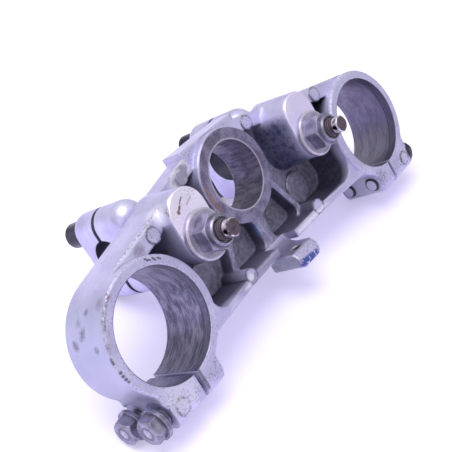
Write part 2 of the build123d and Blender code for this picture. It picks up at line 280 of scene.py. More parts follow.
def relief(finish, height, depth_mm, normal):
    """Bump whose height of 1 stands so many millimetres proud."""
    spans = {"Strength": 1.0, "Distance": depth_mm * MM, "Height": height, "Normal": normal}
    return finish.node("ShaderNodeBump", {}, spans)


def coat(finish, sockets):
    """Closes the tree with one Principled shader, whose sockets are given."""
    shader = finish.node("ShaderNodeBsdfPrincipled", {}, sockets)
    finish.node("ShaderNodeOutputMaterial", {}, {"Surface": shader})
    return finish.owner


print("words for normals ready")

# %% [markdown]
# ## The table
# The clamp lies on the noses of its pinch ears and the heads of the front cap bolts, so up in the
# room is backwards and down in the bike's frame. The floor is one sheet square to that direction,
# set against the lowest point of all the solids.

# %% Floor
room_up = Vector((0.0, -0.852, -0.523)).normalized()
floor_reach = 3.0


def corners_of(obj):
    """All vertices of an object as rows of x, y and z."""
    flat = np.empty(len(obj.data.vertices) * 3, np.float32)
    obj.data.vertices.foreach_get("co", flat)
    return flat.reshape(-1, 3)


lowest = min(float((corners_of(o) @ np.array(room_up)).min()) for o in nodes.values())
floor_side = Vector((1, 0, 0))
floor_ahead = room_up.cross(floor_side)
u, v = (g.ravel()[:, None] for g in np.meshgrid([-1, 1], [-1, 1]))
spread = u * np.array(floor_side) + v * np.array(floor_ahead)
sheet = np.array(room_up) * lowest + floor_reach * spread
floor_mesh = bpy.data.meshes.new("table_top")
floor_mesh.from_pydata(sheet.tolist(), [], [[0, 1, 3, 2]])
floor = bpy.data.objects.new("table_top", floor_mesh)
scene.collection.objects.link(floor)
print("floor at", round(lowest / MM, 1), "mm along the room's up")

# %% [markdown]
# ## A white table that keeps its shadow
# A light tent burns the table out to white, and only the shade near the part keeps a lavender
# tint. More lamp power would burn the part out too. So the table gets a little light of its own,
# seen only by the camera and by reflections, which the Light Path node tells apart. The sheet's
# back is see-through, so that it never hides the part from below.

# %% Table finish
def seen(finish):
    """1 for rays from the camera, from gloss and through glass, 0 for the light itself."""
    kinds = ("Is Camera Ray", "Is Glossy Ray", "Is Transmission Ray")
    return any_of(*[finish.node("ShaderNodeLightPath", output=kind) for kind in kinds])


table = Finish(bpy.data.materials.new("white_table"))
place, *_ = millimetres(table)
cloudy = grain(place, 0.004, 2.0)
table_tint = blend(fade(cloudy, 0.35, 0.65), tone(226, 222, 248), tone(232, 229, 250))
matte = table.node("ShaderNodeBsdfDiffuse", {}, {"Color": table_tint})
light = {"Color": tone(147, 142, 158), "Strength": seen(table)}
glow = table.node("ShaderNodeEmission", {}, light)
front = table.node("ShaderNodeAddShader", {}, {0: matte, 1: glow})
clear = table.node("ShaderNodeBsdfTransparent")
behind = table.node("ShaderNodeNewGeometry", output="Backfacing")
both = table.node("ShaderNodeMixShader", {}, {0: behind, 1: front, 2: clear})
table.node("ShaderNodeOutputMaterial", {}, {"Surface": both})
floor_mesh.materials.append(table.owner)
print("table finish", len(table), "nodes")

# %% [markdown]
# ## Soft lamps
# Product pictures are lit by one broad lamp overhead and a weak one from the side. Sun or point
# lamps would throw hard shadows. Round Area lamps of nearly a metre give soft ones, and the weak
# lamp on the left draws the pale band along the near ring.

# %% Lamps
def soft_lamp(name, way, distance, size, power):
    """A round lamp at a distance from the part, facing it."""
    data = bpy.data.lights.new(name, "AREA")
    data.shape, data.size, data.energy = "DISK", size, power
    lamp = bpy.data.objects.new(name, data)
    way = Vector(way).normalized()
    lamp.location = way * distance
    lamp.rotation_euler = way.to_track_quat("Z", "Y").to_euler()
    scene.collection.objects.link(lamp)
    return lamp


above_left = room_up + Vector((-0.25, -0.1, 0.0))
lamps = [
    soft_lamp("overhead_lamp", above_left, distance=1.1, size=0.9, power=7.6),
    soft_lamp("left_lamp", (-1.0, -0.35, -0.35), distance=1.3, size=0.8, power=1.3),
]
print("lamps", [lamp.name for lamp in lamps])

# %% [markdown]
# ## A pale room
# Bare metal shows the room around it, so the world is a white that fades towards the floor. It
# could be one even white, but then the bores would look flat. The camera itself sees plain white.

# %% Room
dimmest, rise = 0.30, 0.45
room_world = bpy.data.worlds.new("pale_room")
scene.world = room_world
room = Finish(room_world)
way = room.node("ShaderNodeTexCoord", output="Generated")
height = vector_math(room, "DOT_PRODUCT", {0: way, 1: room_up}, "Value")
level = fade(height, -0.6, 0.9) * rise + dimmest
shown = room.node("ShaderNodeLightPath", output="Is Camera Ray")
strength = level + shown * (1 - level)
backdrop = room.node("ShaderNodeBackground", {}, {"Color": (1, 1, 1, 1), "Strength": strength})
room.node("ShaderNodeOutputWorld", {}, {"Surface": backdrop})
print("room", len(room), "nodes")

# %% [markdown]
# ## Where things are on the casting
# The crown is one solid with one material, but its surfaces differ: paint outside, bare machined
# bores, a turned stem face, pockets darkened with painted shade. A mesh could carry a material per
# face. Here masks worked out from the place of a point do it, with the same sizes that the solid
# has, in millimetres.

# %% Masks of the casting
fork_side, fork_ahead, fork_radius, ring_radius = 96.0, 24.6, 26.0, 31.0
stem_bore_radius, stem_radius = 18.2, 25.2
bar_side, stud_ahead, boss_rear, boss_radius = 50.2, 7.5, -5.6, 12.0
wall_inside, rear_turn_sin, rear_turn_cos = 41.5, 0.2076, 0.9782
rear_pad_side, rear_reach, rear_wall = 22.0, 22.8, 8.0
lug_half, lug_root = 8.4, 45.2
face_level, seat_level, pocket_top = -13.3, 22.1, 12.2


def casting_masks(finish):
    """Soft masks of the crown's surfaces, each from plan distances and the level z."""
    place, x, y, z = millimetres(finish)
    aside = abs(x)
    fork_x, fork_y = aside - fork_side, y - fork_ahead
    from_fork, from_stem = straight(fork_x, fork_y), straight(x, y)
    from_boss = straight(aside - bar_side, y - y.most(boss_rear).least(stud_ahead))
    behind = (y + rear_reach) * rear_turn_cos - (aside - rear_pad_side) * rear_turn_sin
    low = fade(z, face_level + 0.4, face_level)
    above_face = fade(z, face_level - 0.2, face_level + 0.2)
    on_stem = fade(from_stem, stem_radius + 0.3, stem_radius - 0.1)
    masks = {
        "fork_bore": fade(from_fork, fork_radius + 0.35, fork_radius + 0.1),
        "stem_bore": fade(from_stem, stem_bore_radius + 0.3, stem_bore_radius + 0.1),
        "stem_face": on_stem * fade(abs(z), 0.5, 0.2),
        "boss_face": fade(from_boss, boss_radius + 0.4, boss_radius + 0.2) * low,
        "boss_side": fade(from_boss, boss_radius + 2.6, boss_radius + 1.6) * above_face,
        "ring_face": fade(from_boss, boss_radius + 2.0, boss_radius + 4.0) * low,
        "lug": fade(aside, lug_half + 0.5, lug_half + 0.2) * fade(y, lug_root, lug_root + 0.5),
        "seat_face": fade(z, seat_level - 0.3, seat_level - 0.1),
        "pocket": (
            fade(behind, rear_wall - 0.7, rear_wall - 0.05)
            * fade(y, wall_inside + 0.6, wall_inside + 0.05)
            * fade(from_fork, ring_radius - 0.6, ring_radius - 0.05)
            * fade(aside, fork_side - 4.0, fork_side - 8.0)
            * fade(z, pocket_top + 0.4, pocket_top)
        ),
    }
    return place, (x, y, z), (fork_x, fork_y, from_fork, from_stem), masks


crown_finish = Finish(bpy.data.materials.new("silver_casting"))
place, (x, y, z), (fork_x, fork_y, from_fork, from_stem), mask = casting_masks(crown_finish)
bare = any_of(*[mask[name] for name in ("fork_bore", "stem_bore", "stem_face", "seat_face")])
print("casting masks", sorted(mask))

# %% [markdown]
# ## Silver paint over a rough casting
# The crown was cast, painted silver and used for years. Its cast edges are rounder than its
# machined ones, so two Bevel normals are mixed by a mask. The paint is pale lavender-grey with
# faint clouds, fine pits from the mould, grey rubs and hairlines. Noise at several sizes gives all
# of these.

# %% Crown finish: edges and paint
crisp, cast = worn_edge(crown_finish, 0.6), worn_edge(crown_finish, 2.4)
rounded = mixed_normal(bare.most(mask["boss_face"]), cast, crisp)
down = facing(rounded, (0.0, 0.0, -1.0))
edge = bent_edge(crown_finish, crisp)
corner, recess = sheltered(crown_finish, 1.6), sheltered(crown_finish, 16.0)

clouds = grain(place, 0.06, 4.0, 0.6)
fine = grain(place, 1.6, 3.0, 0.6)
coarse = grain(place, 0.45, 4.0, 0.65)
speck = grain(place, 0.9, 5.0, 0.75)
paint = blend(fade(clouds, 0.35, 0.7), tone(186, 182, 220), tone(207, 203, 238))
rubbed = fade(grain(stretched(place, 0.16, 0.5, 0.16), 1.0, 5.0, 0.7), 0.6, 0.72)
paint = blend(rubbed * 0.4, paint, tone(142, 137, 164))
pits = fade(fine, 0.64, 0.72) * fade(coarse, 0.45, 0.6)
paint = blend(pits * 0.6, paint, tone(104, 98, 122))
hairs = fade(grain(stretched(place, 0.12, 0.9, 1.5), 1.0, 6.0, 0.6), 0.68, 0.71)
paint = blend(hairs * 0.5, paint, tone(112, 106, 130))
print("paint laid,", len(crown_finish), "nodes")

# %% [markdown]
# ## Painted shade in the pockets
# Little light gets into the pockets on the underside, so their shade is painted in. Their steep walls
# go to navy with depth, painted shade over a darker paint, and their floors to a painted-shade mid
# grey. How steep a wall is comes from the rounded normal, so the tones flow over the casting's
# blends. The ribs lie deeper than the rims and are painted duller as shade.

# %% Crown finish: pockets and ribs
rib_level = 3.5
steep = fade(down, 0.85, 0.25)
far_side = fade(x, -10.0, 40.0)
navy_and_shade = blend(fade(coarse, 0.35, 0.7), tone(70, 68, 90), tone(94, 91, 115))
shaded_floor_grey = blend(fade(coarse, 0.3, 0.7), tone(122, 116, 144), tone(162, 156, 184))
shade = mask["pocket"] * (1 - mask["boss_side"])
# painted shade: recesses darken by how much the piece closes in around them
paint = blend(fade(recess, 0.35, 0.95) * 0.3, paint, tone(92, 89, 114))
paint = blend(shade * fade(z, 7.5, 9.5) * (1 - steep), paint, shaded_floor_grey)
wall_depth = fade(z, -7.0, 11.0) * (1 - far_side) + fade(z, -12.0, -5.0) * far_side
# the painted shade on the walls is eased near one open corner
open_corner = 1 - spot(place, (-21.4, -13.3, 6.8), 3.0, 8.0) * 0.6
paint = blend(shade * wall_depth * steep * open_corner, paint, navy_and_shade)
near_wall = fade(y, wall_inside - 0.9, wall_inside - 0.2)
# painted shade on the inside of the front wall
front_wall_shade = mask["pocket"] * steep * near_wall * fade(z, -7.8, -3.4)
paint = blend(front_wall_shade * 0.8, paint, tone(86, 82, 106))
# painted shade on the rib tops
rib_top_shade = shade * fade(abs(z - rib_level), 0.6, 0.3) * (1 - steep)
paint = blend(rib_top_shade * fade(coarse, 0.25, 0.6) * 0.75, paint, tone(116, 113, 144))
print("pockets shaded,", len(crown_finish), "nodes")

# %% [markdown]
# ## Shaded bosses and a grey lug
# The two bar bosses stand in the pockets, and shade is painted on their sides, darker towards the
# plate. The far one has inky blue blotches, which a noise cut by a soft step gives. The lug in front
# is a plainer grey, and its screw hole is painted dark inside as shade. All these tones could be
# separate materials, but as masks they run softly into each other.

# %% Crown finish: bosses and lug
lug_hole_level, lug_hole_radius = -9.9, 2.5
# painted shade: the bosses' sides darken towards the plate, less on the near boss's outer side
boss_dark = mask["pocket"] * mask["boss_side"] * fade(y, -13.0, -5.0)
near_boss_shade_tone = blend(fade(x, -58.0, -62.5), tone(72, 70, 90), tone(146, 143, 172))
boss_shade_tone = blend(fade(x, -20.0, 20.0), near_boss_shade_tone, tone(97, 99, 130))
paint = blend(boss_dark * fade(z, -19.0, -3.0), paint, boss_shade_tone)
inked = boss_dark * fade(x, 0.0, 20.0) * fade(grain(place, 0.35, 5.0, 0.7), 0.48, 0.58)
paint = blend(inked * fade(z, -12.0, -6.0) * 0.85, paint, tone(62, 65, 106))
lug_grey = blend(fade(coarse, 0.35, 0.65), tone(144, 147, 156), tone(166, 169, 179))
paint = blend(mask["lug"] * steep, paint, lug_grey)
on_saddle = fade(y, 38.0, 41.0) * fade(y, 47.6, 47.2) * fade(z, 3.4, 1.0)
saddle = fade(abs(x), lug_half + 0.3, lug_half - 0.1) * on_saddle
paint = blend(saddle * 0.85, paint, tone(130, 122, 157))
rim_span = fade(x, -6.0, -11.0) * fade(x, -54.0, -40.0)
rim_shade = rim_span * fade(y, wall_inside - 0.9, wall_inside + 0.1) * fade(z, -4.0, -6.0)
paint = blend(rim_shade * 0.65, paint, tone(138, 132, 164))
# painted shade: the lug's screw hole is dark inside
from_hole = straight(x, z - lug_hole_level)
lug_hole_shade = fade(from_hole, lug_hole_radius + 0.25, lug_hole_radius + 0.1)
paint = blend(lug_hole_shade * fade(y, 46.6, 47.0), paint, tone(34, 32, 42))
# painted shade: darker where the casting closes in round a corner, broken by noise
paint = blend(fade(corner, 0.25, 0.6) * fade(coarse, 0.3, 0.55) * 0.3, paint, tone(58, 53, 68))
print("bosses and lug shaded,", len(crown_finish), "nodes")

# %% [markdown]
# ## Chipped edges and painted edge highlights
# Chips follow the edges, dark where dirt stuck and bright where the metal was rubbed, and a highlight
# is painted along the bright stretches and the rounded cast edges. Edges could be painted by hand as
# vertex colours. The bent normal finds them all at once, and two noises of different sizes decide
# which stretch is dark and which is bright.

# %% Crown finish: chips and specks
open_edge = fade(corner, 0.3, 0.15)
chips = edge * open_edge * fade(grain(place, 0.28, 5.0, 0.7), 0.5, 0.6)
paint = blend(chips * 0.75, paint, tone(96, 88, 108))
# rubbed edges with a painted highlight
rubbed_edge_highlight = edge * open_edge * fade(grain(place, 0.2, 3.0), 0.55, 0.45)
paint = blend(rubbed_edge_highlight * 0.7, paint, tone(238, 234, 252))
# painted highlight along the rounded cast edges
rolled = bent_edge(crown_finish, cast, 0.97, 0.84) * open_edge * (1 - mask["pocket"])
cast_edge_highlight = rolled * fade(grain(place, 0.12, 3.0), 0.62, 0.4)
paint = blend(cast_edge_highlight * 0.55, paint, tone(240, 236, 254))
ring_middle = (fork_radius + ring_radius) / 2
near_rim = fade(abs(from_fork - ring_middle), 0.8, 2.2) * 0.6 + 0.4
ring_specks = mask["ring_face"] * near_rim * fade(speck, 0.49, 0.62)
paint = blend(ring_specks * 0.6, paint, tone(120, 113, 138))
print("edges worn,", len(crown_finish), "nodes")

# %% [markdown]
# ## Dark rings round the ejector pads
# Pins that push a casting out of its mould leave round pads. A dark circle is drawn at each pad's
# radius, painted shade in the groove at its foot with some dirt, broken up by the speckle noise. A
# limit on the level keeps the circle off what lies above the pad.

# %% Crown finish: pads
pinch_ahead, ring_level = 57.0, -14.2
ear_pad, ring_pad = (110.6, pinch_ahead, 3.75, -14.7), (72.0, -7.2, 3.9, -8.1)
stem_pad, front_pad = (29.0, -16.3, 3.9, 3.8), (33.0, wall_inside, 4.0, -7.3)


def pad_outline(pad_side, pad_ahead, pad_radius, level):
    """1 along the circle round a raised pad of that level, on both sides of the casting."""
    from_pad = straight(abs(x) - pad_side, y - pad_ahead)
    return fade(abs(from_pad - pad_radius), 0.9, 0.3) * fade(z, level + 1.2, level + 0.8)


# painted shade, with some dirt, in the groove round each pad
pad_shade_rings = any_of(*[pad_outline(*pad) for pad in (ear_pad, ring_pad, stem_pad, front_pad)])
paint = blend(pad_shade_rings * fade(speck, 0.38, 0.52) * 0.7, paint, tone(74, 68, 88))
pad_specks = any_of(
    spot(place, (-72.0, -7.2, -8.1), 3.0, 5.0),
    spot(place, (29.0, -16.3, 3.8), 3.0, 7.0),
    spot(place, (-18.6, -21.4, 4.3), 2.0, 7.0),
)
paint = blend(pad_specks * fade(speck, 0.53, 0.6) * 0.6, paint, tone(104, 97, 122))
# painted light: a pale patch brightens the near ear's face
ear_light_patch = spot(place, (-108.0, 53.0, ring_level), 5.0, 13.0)
paint = blend(ear_light_patch * fade(speck, 0.66, 0.5) * 0.5, paint, tone(234, 230, 252))
print("pads outlined,", len(crown_finish), "nodes")

# %% [markdown]
# ## Worn rims
# The other marks were set down one by one where the photograph shows them. The near ring's rim has
# lost its paint in specks and nicks, the rear wall's ridge is rubbed white, and a highlight is
# painted along the front rim. Each is a point or a line, and the coarse noise frays its border.

# %% Crown finish: rims and ridges
nick_level, front_rim = -13.9, (43.7, -6.8)
frayed = (coarse - 0.5) * 7.0
on_rim = fade(abs(from_fork - (ring_radius - 0.7)), 1.1, 0.4) * fade(z, -12.4, -13.4)
rim_wear = on_rim * fade(y, 19.0, 12.0) * fade(x, -108.0, -114.0)
rim_wear = rim_wear * fade(grain(place, 0.14, 2.0), 0.4, 0.52)
paint = blend(rim_wear * fade(speck, 0.4, 0.52) * 0.75, paint, tone(98, 91, 114))
rim_nicks = streak(place, (-126.0, 19.2, -13.4), (-126.4, 21.2, -13.4), 1.0, frayed * 0.25)
nick_places = ((-126.2, 26.2, 0.5, 1.2), (-126.1, 28.0, 0.5, 1.1),
               (-125.8, 29.8, 0.5, 1.2), (-125.3, 31.4, 0.4, 1.0))
for nick_x, nick_y, inner, outer in nick_places:
    rim_nicks = rim_nicks + spot(place, (nick_x, nick_y, nick_level), inner, outer, frayed * 0.2)
paint = blend(rim_nicks.least(1.0) * 0.9, paint, tone(80, 75, 94))
ridge = streak(place, (-96.0, -6.6, -7.6), (-60.0, -14.4, -7.6), 1.9)
grazed = spot(place, (-83.0, -6.0, -9.6), 1.5, 5.0, frayed * 0.5)
paint = blend(grazed * fade(speck, 0.36, 0.5) * 0.8, paint, tone(148, 139, 170))
paint = blend(ridge * fade(speck, 0.52, 0.44) * 0.8, paint, tone(244, 240, 254))
paint = blend(ridge * fade(coarse, 0.5, 0.58) * 0.7, paint, tone(100, 93, 114))
boss_chip = spot(place, (-56.6, -15.0, -13.2), 0.6, 2.2, frayed * 0.3)
paint = blend(boss_chip * 0.9, paint, tone(252, 250, 255))
boss_pits = spot(place, (-60.2, -11.2, -12.4), 1.0, 3.4) * fade(speck, 0.44, 0.54)
paint = blend(boss_pits * 0.75, paint, tone(104, 97, 118))
# painted highlight along the front rim's rounded top
front_rim_highlight = any_of(
    streak(place, (-53.0, *front_rim), (-37.0, *front_rim), 2.0, frayed * 0.15),
    streak(place, (11.0, *front_rim), (60.0, *front_rim), 1.5, frayed * 0.2),
)
paint = blend(front_rim_highlight * 0.65, paint, tone(246, 243, 255))
peeled = spot(place, (-34.2, 42.0, -7.3), 0.8, 2.4, frayed * 0.7) * fade(z, -6.6, -7.0)
paint = blend(peeled * 0.7, paint, tone(250, 248, 255))
print("rims worn,", len(crown_finish), "nodes")

# %% [markdown]
# ## Scuffs on the walls
# The near ring's side wall gets a cool tint as a painted reflection and carries grey scuffs, kept
# in a short table of places.
# The coarse noise frays some of them, and the speckle noise breaks up the rest. Beside the stem a
# patch was ground flat, with bright broken paint round it: the same line is drawn twice, wide for
# the border and narrow for the bare patch.

# %% Crown finish: walls and scuffs
broken = (speck - 0.5) * 2.0
# painted reflection: a cool tint on the near ring's side wall, not where it faces down
wall_cool_reflection = fade(x, -106.0, -118.0) * (1 - fade(down, 0.2, 0.6)) * 0.6
paint = blend(wall_cool_reflection, paint, tone(168, 172, 200))
ground_line = (-25.5, -18.2, 4.0), (-32.0, -15.2, 4.0)
ground_edge = streak(place, *ground_line, 6.4, frayed) * fade(z, 6.0, 5.0)
paint = blend(ground_edge * 0.9, paint, tone(250, 247, 255))
ground = streak(place, *ground_line, 5.0, frayed) * fade(z, 6.0, 5.0)
paint = blend(ground * 0.9, paint, tone(150, 142, 172))
# painted highlight on the saddle between the rear rim and the near boss
saddle_highlight = spot(place, (-61.8, -11.0, -5.8), 2.0, 8.0)
paint = blend(saddle_highlight * 0.7, paint, tone(246, 243, 255))
scuff_places = (
    ((-116.2, 1.1, -0.6), 0.4, 2.4, broken, 1.0),
    ((-121.9, 7.7, 1.7), 0.6, 3.6, frayed * 0.55, 1.0),
    ((-123.2, 9.6, 3.4), 0.2, 2.0, broken, 0.7),
    ((-125.4, 14.7, -6.4), 0.4, 2.6, broken, 1.0),
    ((-124.3, 12.0, 8.2), 0.4, 3.4, frayed * 0.55, 1.0),
    ((-123.6, 10.6, 9.6), 0.2, 1.8, broken, 0.6),
    ((-119.0, 4.0, 5.0), 0.6, 3.0, frayed * 0.7, 0.5),
)
scuffs = sum(spot(place, *where) * share for *where, share in scuff_places)
paint = blend(scuffs.least(1.0) * fade(speck, 0.3, 0.56) * 0.85, paint, tone(98, 95, 118))
print("walls scuffed,", len(crown_finish), "nodes")

# %% [markdown]
# ## Grime, rust and flecks
# Grime lines the split, fine specks pepper the near ring and the rear pad, and a few rust dots and
# dark flecks lie on the ring. They could be decals, but a decal needs a picture. A mask made of a
# place and a noise needs none, and it stays sharp from close by.

# %% Crown finish: grime and flecks
split_edge = 94.0
split_grime = fade(abs(x + split_edge), 1.1, 0.6) * fade(y, 49.5, 50.5) * fade(z, -13.6, -14.0)
paint = blend(split_grime * 0.75, paint, tone(92, 86, 110))
specked = fade(x, -104.0, -112.0).most(fade(y, -6.0, -12.0) * fade(x, 20.0, 0.0))
peppered = specked * fade(speck, 0.6, 0.68) * fade(grain(place, 0.1, 2.0), 0.42, 0.58)
paint = blend(peppered * 0.5, paint, tone(120, 117, 142))
smudge = spot(place, (-114.0, -0.6, -10.0), 0.8, 4.2, frayed * 0.4)
paint = blend(smudge * 0.5, paint, tone(128, 114, 134))
rust_dots = any_of(
    spot(place, (-111.3, -1.7, -13.9), 0.6, 2.0, frayed * 0.2),
    spot(place, (-63.4, 5.4, 1.7), 0.8, 3.0, frayed * 0.3),
)
paint = blend(rust_dots * fade(speck, 0.4, 0.52) * 0.8, paint, tone(118, 84, 80))
fleck_places = ((-85.9, -3.2, -85.0, -1.6, 0.6), (-84.6, -1.9, -83.6, -1.0, 0.5),
                (-82.2, -1.2, -81.3, 0.5, 0.6), (-79.9, 0.2, -78.6, 1.5, 0.55))
flecks = any_of(*[
    streak(place, (from_x, from_y, ring_level), (to_x, to_y, ring_level), width)
    for from_x, from_y, to_x, to_y, width in fleck_places
])
paint = blend(flecks * 0.85, paint, tone(70, 63, 80))
print("flecks set,", len(crown_finish), "nodes")

# %% [markdown]
# ## Blue paint and the far ear
# Blue paint from another part has rubbed off on the lug's end and on two pocket flanks. On the far
# ear the ends of the pinch bolts show, each in a dark ring. That ring is a soft step of the
# distance from the nearer bolt axis, which one function gives for both bolts and, later, for their
# heads.

# %% Crown finish: blue paint and bolt ends
pinch_levels = (-6.8, 10.6)


def from_pinch_axis(y, z):
    """Distance from the axis of the nearer of the two pinch bolts."""
    lower, upper = (abs(z - pinch_level) for pinch_level in pinch_levels)
    return straight(y - pinch_ahead, lower.least(upper))


blue_lug = streak(place, (-7.0, 53.2, -16.0), (4.6, 54.8, -16.0), 3.0, frayed * 0.35)
blue_left = fade(coarse, 0.41, 0.47).most(fade(speck, 0.55, 0.6) * 0.6)
paint = blend(blue_lug * mask["lug"] * blue_left, paint, tone(64, 82, 160))
far_ear = spot(place, (81.5, pinch_ahead, 3.0), 11.0, 17.0) * fade(x, 92.0, 86.0)
paint = blend(far_ear * (1 - fade(down, 0.5, 0.9)) * 0.7, paint, tone(164, 169, 172))
bolt_ring = fade(abs(from_pinch_axis(y, z) - 4.1), 0.5, 0.3)
paint = blend(far_ear * bolt_ring * 0.85, paint, tone(62, 60, 72))
ear_marks = spot(place, (83.7, 54.5, ring_level), 1.5, 6.0, frayed * 0.6)
paint = blend(ear_marks * fade(speck, 0.44, 0.54) * 0.75, paint, tone(104, 104, 122))
blue_flank = any_of(
    streak(place, (-4.1, 28.0, 4.0), (-4.1, 33.6, 4.0), 2.3, frayed * 0.25),
    streak(place, (22.0, 16.0, 4.4), (28.0, 31.0, 4.4), 2.4, frayed * 0.3) * 0.7,
)
paint = blend(blue_flank * (1 - fade(down, 0.8, 0.98)) * 0.85, paint, tone(124, 148, 214))
print("blue paint set,", len(crown_finish), "nodes")

# %% [markdown]
# ## Bare machined fork bores
# The fork bores were turned, so their marks run round the axis. The noise is sampled with the
# height scaled up and the two plan directions scaled down, which draws long streaks round the bore,
# without the seam that an angle would leave. The far bore is paler, and a line marks a worn step.

# %% Crown finish: fork bores
step_level = -9.4
unrolled = {0: fork_x * 0.15 + far_side * 9.0, 1: z * 2.8, 2: fork_y * 0.15}
round_place = crown_finish.node("ShaderNodeCombineXYZ", {}, unrolled)
streaks = grain(round_place, 1.0, 6.0, 0.75)
blotch = grain(stretched(round_place, 0.5, 0.1, 1.0), 1.0, 3.0, 0.6)
bore = blend(fade(streaks, 0.36, 0.62), tone(56, 56, 76), tone(134, 131, 156))
bore = blend(fade(blotch, 0.46, 0.62) * 0.6, bore, tone(156, 151, 174))
bore = blend(fade(blotch, 0.46, 0.36) * 0.45, bore, tone(58, 58, 80))
bore = blend(fade(streaks, 0.6, 0.68) * 0.75, bore, tone(206, 201, 222))
bore = blend(fade(x, 60.0, 80.0) * 0.5, bore, tone(154, 147, 170))
bore = blend(fade(x, -60.0, -80.0) * 0.2, bore, tone(70, 68, 90))
bore = blend(fade(z, step_level + 0.2, step_level - 0.2) * 0.5, bore, tone(86, 83, 106))
bore = blend(fade(abs(z - step_level), 0.35, 0.15) * 0.6, bore, tone(52, 50, 66))
print("fork bores turned,", len(crown_finish), "nodes")

# %% [markdown]
# ## The stem bore and its face
# In the stem bore the noise is stretched the other way, along the axis, for runs of dirt. The face
# round it is mottled grey with a highlight painted along its rims and a rusty smear where a washer
# sat. All of it comes from the distance to the stem axis and the speckle noise.

# %% Crown finish: stem bore and face
face_middle = 21.9
stem_scaled = {0: x * 0.5, 1: y * 0.5, 2: z * 0.12}
stem_place = crown_finish.node("ShaderNodeCombineXYZ", {}, stem_scaled)
stem_streaks = grain(stem_place, 1.0, 5.0, 0.7)
stem_wall = blend(fade(stem_streaks, 0.3, 0.7), tone(72, 68, 88), tone(122, 116, 138))
mottle = fade(grain(place, 0.12, 3.0), 0.38, 0.62)
stem_face = blend(mottle, tone(116, 109, 138), tone(154, 148, 180))
stem_face = blend(fade(speck, 0.52, 0.62) * 0.65, stem_face, tone(82, 74, 96))
# painted highlight along the inner and outer rims of the stem face
stem_rim_highlight = fade(abs(from_stem - face_middle), 2.3, 3.2)
stem_face = blend(stem_rim_highlight * 0.5, stem_face, tone(196, 190, 216))
stem_face = blend(fade(fine, 0.55, 0.66) * 0.45, stem_face, tone(188, 182, 210))
orange = streak(place, (-24.0, -5.0, 0.0), (-22.6, 8.0, 0.0), 2.6, frayed * 0.3)
stem_face = blend(orange * fade(speck, 0.4, 0.56) * 0.75, stem_face, tone(158, 120, 104))
print("stem face mottled,", len(crown_finish), "nodes")

# %% [markdown]
# ## Boss faces, and paint joined with metal
# Rust ran from the near stud over the pale face of its boss and dried in thin broken lines, and the
# near face gets a painted highlight. Then the masks lay each bare surface over the paint in turn, and
# a highlight is painted on the lip that closes the stem bore. One material with masks keeps the
# borders exact, where several materials would follow the triangles.

# %% Crown finish: boss faces and joining
drip_level = -13.5
boss_face = blend(fade(clouds, 0.3, 0.7), tone(226, 216, 252), tone(238, 230, 255))
# painted highlight on the near boss face
boss_face = blend(fade(x, -20.0, -50.0) * 0.5, boss_face, tone(250, 244, 255))
boss_face = blend(fade(speck, 0.42, 0.62) * 0.4, boss_face, tone(212, 202, 238))
drips = any_of(
    streak(place, (-50.0, -13.3, drip_level), (-52.8, -11.4, drip_level), 0.5, broken * 0.9),
    streak(place, (-53.4, -10.4, drip_level), (-56.0, -8.4, drip_level), 0.6, broken * 0.9),
    spot(place, (-56.0, -8.4, drip_level), 0.5, 1.4, broken * 0.6),
    spot(place, (-54.2, -9.9, drip_level), 0.4, 1.0, broken * 0.5),
    streak(place, (-45.4, -10.6, drip_level), (-49.6, -8.8, drip_level), 0.65, broken * 0.4) * 0.4,
)
boss_face = blend(drips * 0.9, boss_face, tone(112, 74, 72))
rusty_dust = spot(place, (-44.5, -13.0, drip_level), 1.0, 5.0) * fade(speck, 0.5, 0.62)
boss_face = blend(rusty_dust * 0.5, boss_face, tone(168, 138, 148))
boss_rim = fade(grain(place, 0.5, 4.0, 0.7), 0.52, 0.6) * fade(x, -52.0, -57.0) * edge
boss_face = blend(boss_rim * 0.7, boss_face, tone(120, 110, 132))

metal = blend(mask["boss_face"], paint, boss_face)
metal = blend(mask["stem_face"], metal, stem_face)
metal = blend(mask["stem_bore"], metal, stem_wall)
metal = blend(mask["fork_bore"], metal, bore)
metal = blend(mask["seat_face"], metal, stem_face)
# painted highlight on the lip of the stem bore
bore_lip_highlight = fade(abs(from_stem - stem_bore_radius - 0.3), 0.35, 0.15) * mask["stem_face"]
metal = blend(bore_lip_highlight * 0.8, metal, tone(206, 200, 218))
print("surfaces joined,", len(crown_finish), "nodes")

# %% [markdown]
# ## Gloss and relief of the casting
# Colour alone looks like a print. Bare metal is more metallic than paint, pits and pockets are
# duller, and the cast skin has a fine roughness that catches the light. A Bump node gives the skin,
# because its grain is a tenth of a millimetre high and would need millions of faces as a mesh.

# %% Crown finish: gloss and relief
shine = bare * 0.4 + 0.45
dull = 0.33 + pits * 0.2 + mask["pocket"] * 0.2
cast_skin = (coarse * 0.5 + fine * 0.35 - pits * 0.6) * (1 - bare * 0.8)
skin = cast_skin + mask["fork_bore"] * streaks * 0.3
normal = relief(crown_finish, skin, 0.18, rounded)
coat(crown_finish, {"Base Color": metal, "Roughness": dull, "Metallic": shine, "Normal": normal})
print("crown finish", len(crown_finish), "nodes")

# %% [markdown]
# ## Holders and caps
# The handlebar holders were machined and buffed brighter than the casting, so they take highlights
# from the lamp. Fine lines run along them, with a few dark nicks. The joint between holder and cap
# is darker, the empty bar seat is painted dark as shade, and the place of the bar's axis tells
# where they are.

# %% Holder finish
bar_ahead, bar_level, bar_radius = 3.4, 46.2, 11.1

